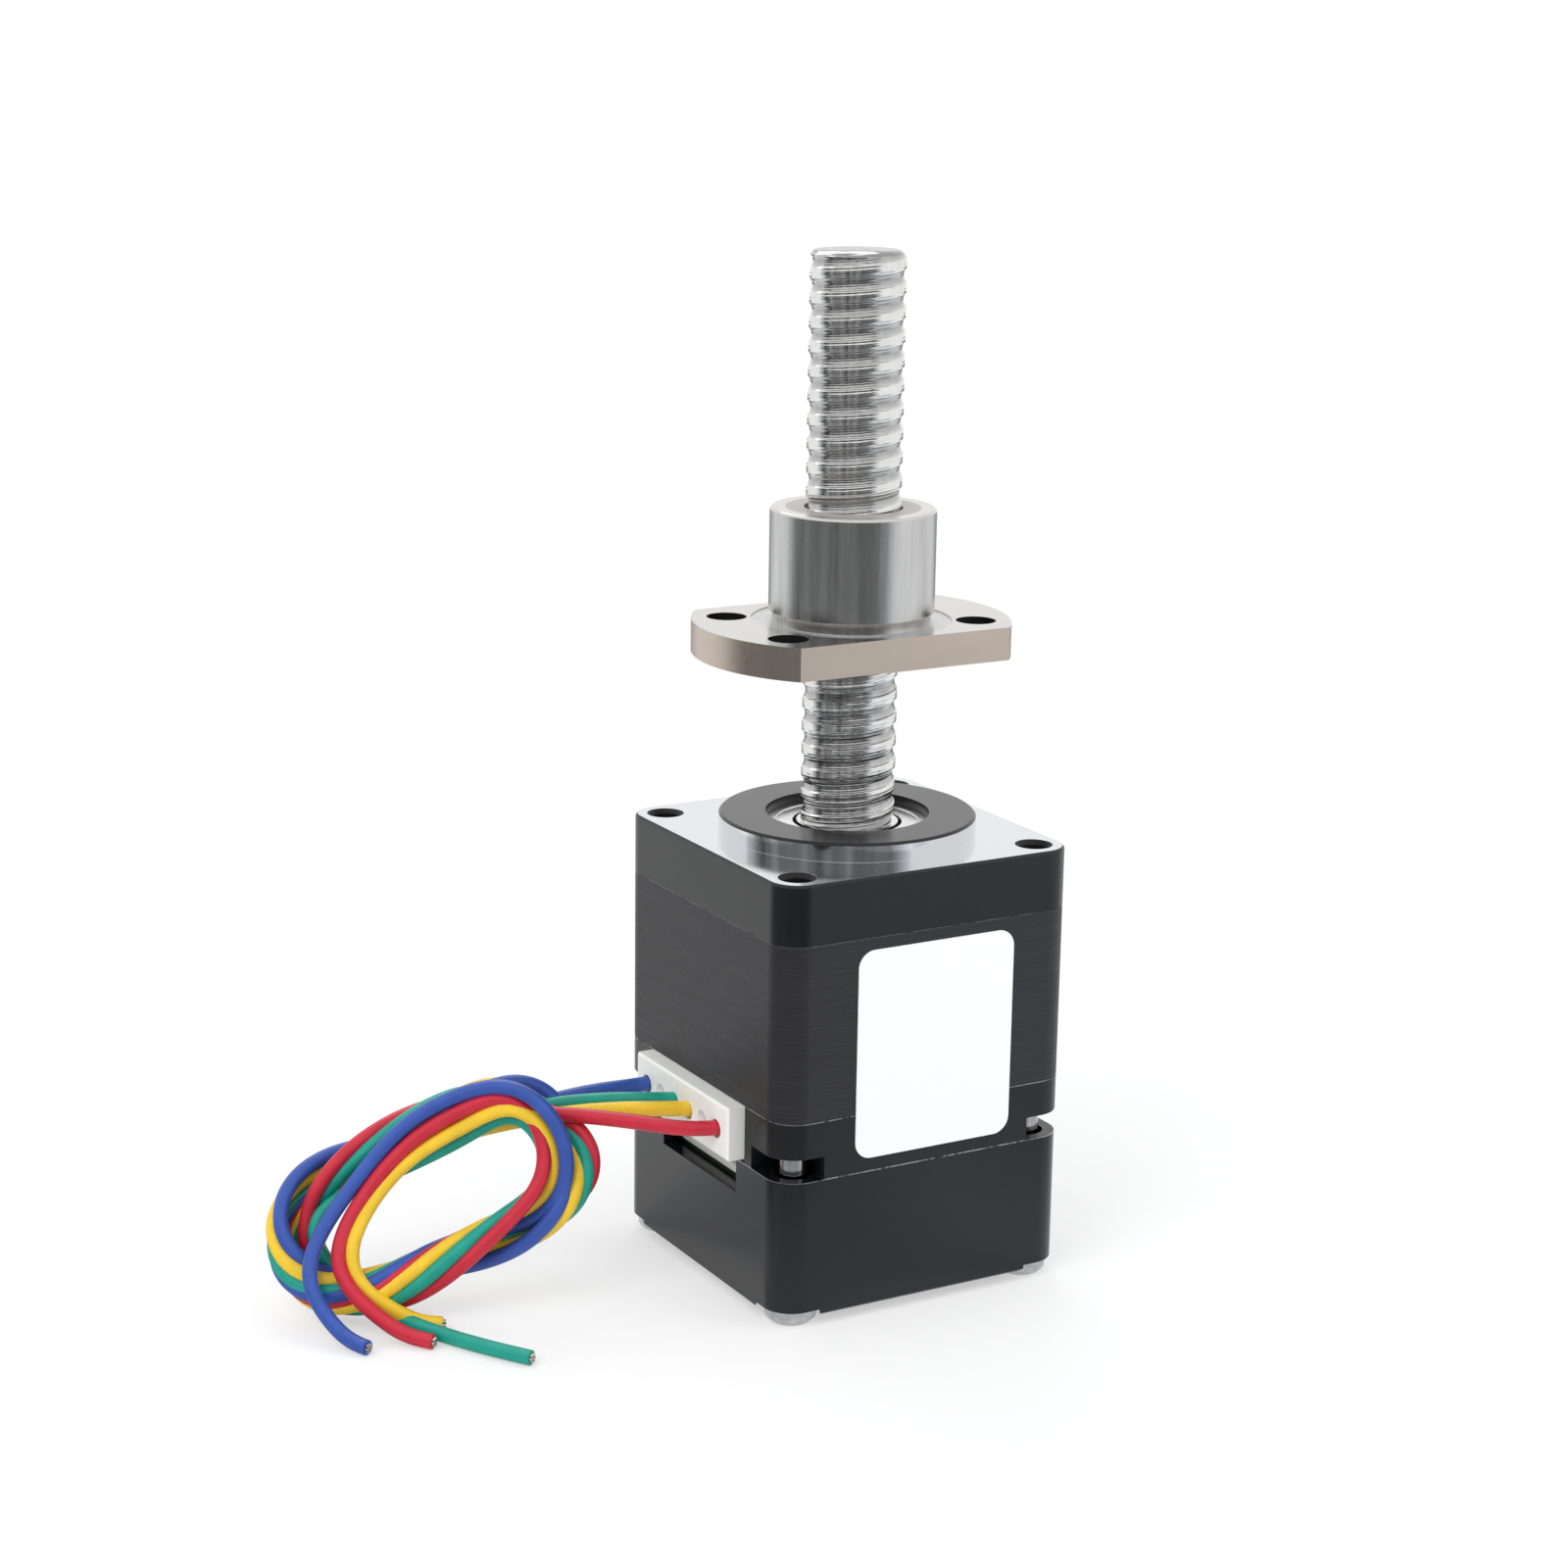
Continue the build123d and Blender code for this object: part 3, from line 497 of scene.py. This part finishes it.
# Ball nut
def nut_finish(centre, normal):
    """Turned body, ground flange and faced tops."""
    radius = Vector((centre.x, centre.y)).length
    if centre.z > nut_high.z - rounded_edge:
        return nut_top_finish
    near_hole = nearest_hole(centre, flange_hole_x, flange_hole_y) < flange_hole_reach
    # Flange-hole walls take the near-black coat instead of steel: painted shade inside the holes.
    if centre.z < flange_top and near_hole and abs(normal.z) < upright:
        return coat["hole"]
    if centre.z > flange_top + near_level:
        return nut_side
    if centre.z > flange_top - near_level and abs(normal.z) > upright:
        return nut_top_finish
    return nut_flat if radius > nut_radius + 0.5 else nut_side


dressed("ball_nut", "nut", [nut_side, nut_flat, nut_top_finish, coat["hole"]], 0.10,
        nut_finish)


# Screw. The groove's section: a share of its width, and a share of its depth there.
groove_section = ((0.03, 0.26), (0.10, 0.50), (0.20, 0.68), (0.32, 0.80), (0.42, 0.86), (0.45, 1.0),
                  (0.55, 1.0), (0.58, 0.86), (0.68, 0.80), (0.80, 0.68), (0.90, 0.50), (0.97, 0.26))
land_edge_drop = 0.03
land_edge_width = 0.04
screw_steps_per_turn = 64
screw_merge_distance = 0.0005
screw_chamfer = 0.3
journal_overlap = 0.02
lower_cut_off_turns = 1.5
spare_turns = 3


def cut_level(bm, level, clear_outer):
    bmesh.ops.bisect_plane(bm, geom=bm.verts[:] + bm.edges[:] + bm.faces[:], plane_co=(0, 0, level),
                           plane_no=(0, 0, 1), clear_outer=clear_outer, clear_inner=not clear_outer)


def screw_piece():
    """The thread's profile for one lead, spun up the axis, cut square, chamfered and given journals."""
    groove_width = screw_lead - raceway_land
    thread_low = pilot_height - bearing_lip
    chamfer_low = screw_high.z - screw_chamfer
    turns = int((screw_high.z - thread_low) / screw_lead) + spare_turns
    edge_radius = screw_radius - land_edge_drop
    bm = bmesh.new()
    profile = [(edge_radius, 0), (screw_radius, land_edge_width),
               (screw_radius, raceway_land - land_edge_width), (edge_radius, raceway_land)]
    for share, sunk in groove_section:
        profile.append((edge_radius - (raceway_depth - land_edge_drop) * sunk,
                        raceway_land + groove_width * share))
    profile.append((edge_radius, screw_lead))
    start = thread_low - lower_cut_off_turns * screw_lead
    points = [bm.verts.new((radius, 0, start + height)) for radius, height in profile]
    edges = [bm.edges.new(pair) for pair in zip(points, points[1:])]
    bmesh.ops.spin(bm, geom=points + edges, cent=(0, 0, 0), axis=(0, 0, 1), angle=2 * pi * turns,
                   dvec=(0, 0, screw_lead / screw_steps_per_turn), steps=screw_steps_per_turn * turns)
    bmesh.ops.remove_doubles(bm, verts=bm.verts, dist=screw_merge_distance)
    cut_level(bm, thread_low, False)
    cut_level(bm, chamfer_low, True)
    top_rim = [e for e in bm.edges if e.is_boundary and e.verts[0].co.z > chamfer_low - 0.01]
    rise = bmesh.ops.extrude_edge_only(bm, edges=top_rim)["geom"]
    top_points = [v for v in rise if isinstance(v, bmesh.types.BMVert)]
    bmesh.ops.translate(bm, verts=top_points, vec=(0, 0, screw_chamfer))
    narrowed = 1 - screw_chamfer / screw_radius
    bmesh.ops.scale(bm, verts=top_points, vec=(narrowed, narrowed, 1))
    bmesh.ops.holes_fill(bm, edges=[e for e in bm.edges if e.is_boundary], sides=0)
    for radius, top, bottom in ((front_journal_radius, thread_low + journal_overlap, stator_bottom),
                                (rear_journal_radius, stator_bottom, screw_low.z)):
        journal = bmesh.ops.create_cone(bm, cap_ends=True, segments=64, radius1=radius, radius2=radius,
                                        depth=top - bottom)
        bmesh.ops.translate(bm, verts=journal["verts"], vec=(0, 0, (top + bottom) / 2))
    bmesh.ops.recalc_face_normals(bm, faces=bm.faces)
    return bm


screw = finished(screw_piece(), "screw_dressed", "rotor", [raceway_steel_groove_shaded],
                 sharp_angle=50, weighted=False)
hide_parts("ball_screw")

# Pieces that keep their CAD shape
for node, material in {
    "front_bearing_inner_ring": turned_ring, "front_bearing_outer_ring": turned_ring,
    "rear_bearing_inner_ring": turned_ring, "rear_bearing_outer_ring": turned_ring,
    "front_bearing_shields": turned_ring, "rear_bearing_shields": turned_ring,
    "front_bearing_cage": sheet_steel, "rear_bearing_cage": sheet_steel,
    "front_bearing_balls": ball_steel, "rear_bearing_balls": ball_steel, "nut_balls": ball_steel,
    "ball_deflectors": nut_side, "nut_wiper_upper": wiper_resin, "nut_wiper_lower": wiper_resin,
    "wave_spring": sheet_steel, "rotor_core_front": lamination, "rotor_core_rear": lamination,
    "rotor_magnet": sheet_steel, "stator_coils": copper, "front_insulator": insulator_resin,
    "rear_insulator": insulator_resin, "encoder_board": board_shade_darkened, "board_posts": plated,
    "board_screws": plated, "encoder_hub": turned_ring, "encoder_disc": turned_ring,
    "encoder_reader": black_resin, "encoder_socket": nylon, "connector_contacts": strand_metal,
}.items():
    repaint(node, material)


# Leads: each runs from the plug into the coil, round it, and out to its loose end on the floor
lead_diameter = 1.3
lead_runs = {
    "red": [(-14.7, -5.85, -22.67), (-17.8, -5.85, -22.5), (-20.4, -3.0, -22.0), (-22.5, 3.2, -23.5)],
    "yellow": [(-14.7, -0.85, -22.67), (-17.8, -0.85, -22.2), (-20.3, 1.0, -21.9), (-22.5, 4.8, -22.9)],
    "green": [(-14.7, 1.65, -22.67), (-17.6, 1.65, -22.2), (-20.2, 3.0, -21.8), (-22.6, 6.0, -22.5)],
    "blue": [(-14.7, 6.65, -22.67), (-17.4, 6.6, -22.6), (-20.2, 6.6, -22.1), (-22.8, 7.4, -22.1)],
}
lead_tails = {
    "blue": [(-42.7, 7.3, -29.0), (-46.6, 6.8, -30.3), (-48.7, 6.0, -32.2), (-49.4, 4.4, -34.6),
             (-47.6, 1.7, -36.6), (-46.5, -0.4, -37.62), (-45.64, -2.1, -37.65)],
    "red": [(-42.7, 6.6, -29.9), (-45.5, 5.8, -30.8), (-46.8, 4.7, -32.3), (-46.6, 2.9, -34.6),
            (-43.8, 0.4, -36.4), (-42.0, -1.8, -37.62), (-40.47, -3.5, -37.65)],
    "yellow": [(-41.2, 6.6, -28.6), (-43.2, 5.6, -30.0), (-45.0, 4.8, -31.6), (-45.8, 3.6, -33.4),
               (-44.4, 2.2, -35.4), (-42.0, 1.2, -36.6), (-39.8, 0.2, -37.65), (-38.31, -0.6, -37.65)],
    "green": [(-43.6, 6.4, -36.6), (-42.6, 3.6, -37.5), (-40.9, -0.2, -37.65), (-38.47, -4.24, -37.65),
              (-36.61, -7.25, -37.65), (-34.75, -10.02, -37.65)],
}
coil_centre = Vector((-35.94, 5.82, -28.75))
coil_along = Vector((0.899, -0.239, 0.366)).normalized()
coil_normal = Vector((-0.421, -0.698, 0.579)).normalized()
coil_across = coil_normal.cross(coil_along)
coil_half_length = 7.9
coil_end_radius = 5.9
coil_straight = 2 * coil_half_length
coil_half_turn = pi * coil_end_radius
coil_lap = 2 * (coil_straight + coil_half_turn)
points_per_lap = 28
twists_per_lap = 2.2
ring_radius = 1.80
ring_count = 8
ring_places = {"red": 0, "green": 1, "yellow": 2, "blue": 3}
last_pass = {"red": (-1.25, 2.8), "yellow": (-2.3, 2.05), "blue": (0.1, 3.05), "green": (-2.8, 0.7)}
coil_leave = {"red": 2 * coil_lap + 10.4, "yellow": 2 * coil_lap + 10.4, "blue": 2 * coil_lap + 10.4,
              "green": 2 * coil_lap + coil_straight + coil_half_turn - 4.0}
wrap_in = -2.6
wrap_forward = 2.3
wrap_margin = 7
lap_change_margin = 5
bundle_phase = 0.6
first_coil_place = 3.0
weave_share = 0.06
weave_length = 7.0
relax_passes = 3
lead_curve_steps = 6
lead_section_steps = 5
strand_count = 7
strand_ring = 0.27
strand_root_radius = 0.14
strand_end_radius = 0.12
strand_length = 0.5


def oval(distance):
    """A point of the coil's middle line and the outward direction there.

    The line starts at the right end of the top and runs leftwards.
    """
    distance %= coil_lap
    if distance < coil_straight:
        outward = coil_across
        return coil_centre + coil_along * (coil_half_length - distance) + outward * coil_end_radius, outward
    distance -= coil_straight
    if distance < coil_half_turn:
        angle = distance / coil_end_radius
        outward = coil_across * cos(angle) - coil_along * sin(angle)
        return coil_centre - coil_along * coil_half_length + outward * coil_end_radius, outward
    distance -= coil_half_turn
    if distance < coil_straight:
        outward = -coil_across
        return coil_centre + coil_along * (distance - coil_half_length) + outward * coil_end_radius, outward
    angle = (distance - coil_straight) / coil_end_radius
    outward = coil_along * sin(angle) - coil_across * cos(angle)
    return coil_centre + coil_along * coil_half_length + outward * coil_end_radius, outward


def eased(share):
    """Smooth change from 0 to 1."""
    share = min(max(share, 0.0), 1.0)
    return share * share * (3 - 2 * share)


def wrap_shift(distance):
    """The second lap bends in early and forward at the end by the motor, where it wraps the bundle."""
    away = abs(distance - (2 * coil_lap - coil_half_turn / 2)) / (coil_half_turn / 2 + wrap_margin)
    weight = cos(pi / 2 * away) ** 2 if away < 1 else 0
    return (coil_along * wrap_in + coil_normal * wrap_forward) * weight


def bundle_place(colour, distance):
    """Where a lead is in the bundle's section: outward and along the coil's normal."""
    half_way_round, on_top = [
        eased((distance - lap * coil_lap + coil_half_turn + lap_change_margin)
              / (coil_half_turn + 2 * lap_change_margin)) for lap in (1, 2)
    ]
    turns = ring_places[colour] / ring_count + half_way_round / 2 + twists_per_lap * distance / coil_lap
    angle = 2 * pi * turns + bundle_phase
    ring = Vector((cos(angle), sin(angle))) * ring_radius
    return ring.lerp(Vector(last_pass[colour]), on_top)


def lead_route(colour):
    """The curve's control points: the run from the plug, the coil and the loose end."""
    route = [Vector(point) for point in lead_runs[colour]]
    distance = first_coil_place
    while distance < coil_leave[colour]:
        place = bundle_place(colour, distance) * (1 + weave_share * sin(distance / weave_length))
        centre, outward = oval(distance)
        point = centre + outward * place.x + coil_normal * place.y + wrap_shift(distance)
        point.z = max(point.z, floor_level + lead_diameter / 2)
        route.append(point)
        distance += coil_lap / points_per_lap
    route += [Vector(point) for point in lead_tails[colour]]
    for _ in range(relax_passes):
        inner = [(before + 2 * point + after) / 4
                 for before, point, after in zip(route, route[1:], route[2:])]
        route[2:-2] = inner[1:-1]
    return route


def lead_tip(colour, end, direction):
    """The short tinned strands that show where the insulation is cut."""
    bm = bmesh.new()
    turn = direction.to_track_quat("Z", "Y").to_matrix().to_4x4()
    for number in range(strand_count):
        radius = strand_ring if number else 0.0
        offset = Vector((cos(number * pi / 3) * radius, sin(number * pi / 3) * radius, 0))
        place = Matrix.Translation(end) @ turn @ Matrix.Translation(offset)
        bmesh.ops.create_cone(bm, cap_ends=True, segments=10, radius1=strand_root_radius,
                              radius2=strand_end_radius, depth=strand_length, matrix=place)
    return finished(bm, "lead_tip_" + colour, "housing", [strand_metal])


def lead_piece(colour):
    """One lead as a cord, with its bare strands."""
    curve = bpy.data.curves.new("lead_" + colour, "CURVE")
    curve.dimensions = "3D"
    curve.bevel_depth = lead_diameter / 2 * MM
    curve.bevel_resolution = lead_section_steps
    curve.use_fill_caps = True
    curve.resolution_u = lead_curve_steps
    route = lead_route(colour)
    spline = curve.splines.new("NURBS")
    spline.points.add(len(route) - 1)
    for point, place in zip(spline.points, route):
        point.co = (*(place * MM), 1.0)
    spline.order_u = 3
    spline.use_endpoint_u = True
    spline.resolution_u = lead_curve_steps
    curve.materials.append(lead_finish[colour])
    piece = bpy.data.objects.new("lead_" + colour, curve)
    bpy.context.scene.collection.objects.link(piece)
    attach(piece, "housing")
    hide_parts("lead_run_" + colour, "lead_tail_" + colour, "lead_coil")
    tip = lead_tip(colour, route[-1], route[-1] - route[-2])
    length = sum((after - before).length for before, after in zip(route, route[1:]))


for colour in lead_runs:
    lead_piece(colour)


# Floor, light and camera
floor_half_side = 3000
floor_gap = 0.02
shadow_end = 55
white_fade = 150
card_lift = 0.3
card_border_angle = 16
card_near_fade = 45
card_steps = 48


def linked(bm, name):
    """A piece of the studio, from a bmesh in millimetres."""
    bmesh.ops.scale(bm, vec=(MM, MM, MM), verts=bm.verts)
    mesh = bpy.data.meshes.new(name)
    bm.to_mesh(mesh)
    bm.free()
    piece = bpy.data.objects.new(name, mesh)
    bpy.context.scene.collection.objects.link(piece)
    return piece


def floor_finish():
    """White, with the object's shadow near it, and plain white further out."""
    finish = Finish("pale_floor", (0.93, 0.93, 0.93), 0.8)
    x, y = finish.split(finish.place())[:2]
    away = (((x * x + y * y).power(0.5) - shadow_end) / white_fade).clamped()
    white = finish.add("Emission", {}, rgb(1.0, 1.0, 1.0), 1.0)
    lit = Value(finish, finish.shader.outputs[0])
    shown = finish.add("MixShader", {}, finish.seen() * (away * 0.5 + 0.5), lit, white)
    finish.plug(finish.nodes["Material Output"].inputs["Surface"], shown)
    return finish.material


def floor_piece():
    bm = bmesh.new()
    bmesh.ops.create_grid(bm, x_segments=1, y_segments=1, size=floor_half_side)
    bmesh.ops.translate(bm, verts=bm.verts, vec=(0, 0, floor_level - floor_gap))
    linked(bm, "floor").data.materials.append(floor_finish())


def card_finish(name, dark, light, start, end, near):
    """Grey card with stripes that point away from the object. It fades to white at its borders."""
    finish = Finish(name, dark, 0.9)
    x, y = finish.split(finish.place())[:2]
    stripes = finish.add("TexNoise", {"noise_dimensions": "1D"}, W=y.math("ARCTAN2", x), Scale=4.5,
                         Detail=4.0, Roughness=0.6)
    shade = finish.mix((stripes * 2.4 - 0.7).clamped(), rgb(*dark), rgb(*light))
    middle = radians((start + end) / 2 - 90)
    half_span = radians((end - start) / 2)
    fade = radians(card_border_angle)
    radius = (x * x + y * y).power(0.5)
    facing = (x * cos(middle) + y * sin(middle)) / radius
    inside = ((facing - cos(half_span)) / (cos(half_span - fade) - cos(half_span))).clamped()
    away = ((radius - near) / card_near_fade).clamped()
    finish.set("Base Color", finish.mix(inside * away, rgb(0.88, 0.89, 0.90), shade))
    return finish.material


def dark_card(name, start, end, near, far, rise, dark, light):
    """A card on the floor that turns up at its far edge, and only shows in the shine of the object."""
    bm = bmesh.new()
    level = floor_level + card_lift
    points = [bm.verts.new(place) for place in ((near, 0, level), (far, 0, level), (far, 0, level + rise))]
    edges = [bm.edges.new(pair) for pair in zip(points, points[1:])]
    bmesh.ops.rotate(bm, verts=points, cent=(0, 0, 0), matrix=Matrix.Rotation(radians(start - 90), 3, "Z"))
    bmesh.ops.spin(bm, geom=points + edges, cent=(0, 0, 0), axis=(0, 0, 1), angle=radians(end - start),
                   steps=card_steps)
    card = linked(bm, name)
    card.data.materials.append(card_finish(name, dark, light, start, end, near))
    card.visible_camera = False
    card.visible_diffuse = False
    card.visible_shadow = False
    card.visible_transmission = False


def area_light(name, place, size, power, shines):
    """A lamp that looks at the origin; shines says whether the object's shine shows it."""
    data = bpy.data.lights.new(name, "AREA")
    data.shape = "RECTANGLE"
    data.size, data.size_y = size[0] * MM, size[1] * MM
    data.energy = power
    light = bpy.data.objects.new(name, data)
    light.location = Vector(place) * MM
    light.rotation_euler = Vector(place).to_track_quat("Z", "Y").to_euler()
    light.visible_glossy = shines
    bpy.context.scene.collection.objects.link(light)


def world_light():
    """Soft light from all round, and plain white wherever the sky itself is seen."""
    world = bpy.data.worlds.new("studio")
    bpy.context.scene.world = world
    world.use_nodes = True
    sky = Shading(world.node_tree)
    lit = sky.add("Background", {}, rgb(0.97, 0.98, 1.0), 0.80)
    white = sky.add("Background", {}, rgb(1.0, 1.0, 1.0), 1.0)
    shown = sky.add("MixShader", {}, sky.seen(), lit, white)
    sky.plug(sky.nodes["World Output"].inputs["Surface"], shown)


def camera_piece():
    """The photograph's view."""
    data = bpy.data.cameras.new("photo_view")
    data.sensor_width = sensor_width
    data.lens = sensor_width * focal_px / photo_side_px
    data.clip_end = camera_reach_m
    camera = bpy.data.objects.new("photo_view", data)
    back = Vector((sin(camera_azimuth) * cos(camera_elevation),
                   -cos(camera_azimuth) * cos(camera_elevation), sin(camera_elevation)))
    place = camera_pivot + back * camera_distance
    turn = (place - camera_aim).to_track_quat("Z", "Y").to_matrix() @ Matrix.Rotation(camera_roll, 3, "Z")
    camera.matrix_world = Matrix.Translation(place * MM) @ turn.to_4x4()
    bpy.context.scene.collection.objects.link(camera)
    bpy.context.scene.camera = camera


floor_piece()
world_light()
dark_card("card_front", start=-131, end=27, near=19, far=620, rise=300,
          dark=(0.02, 0.02, 0.02), light=(0.30, 0.30, 0.30))
dark_card("card_right", start=8, end=86, near=19, far=170, rise=0.2,
          dark=(0.34, 0.37, 0.42), light=(0.60, 0.64, 0.70))
dark_card("card_back", start=110, end=188, near=45, far=620, rise=0.5,
          dark=(0.10, 0.10, 0.10), light=(0.45, 0.45, 0.45))
area_light("key_left", place=(-260, -120, 240), size=(220, 260), power=0.55, shines=False)
area_light("fill_right", place=(240, -220, 160), size=(200, 240), power=0.30, shines=False)
area_light("top_back", place=(60, 260, 300), size=(300, 200), power=0.40, shines=True)
camera_piece()
bpy.context.scene.view_settings.view_transform = "Standard"
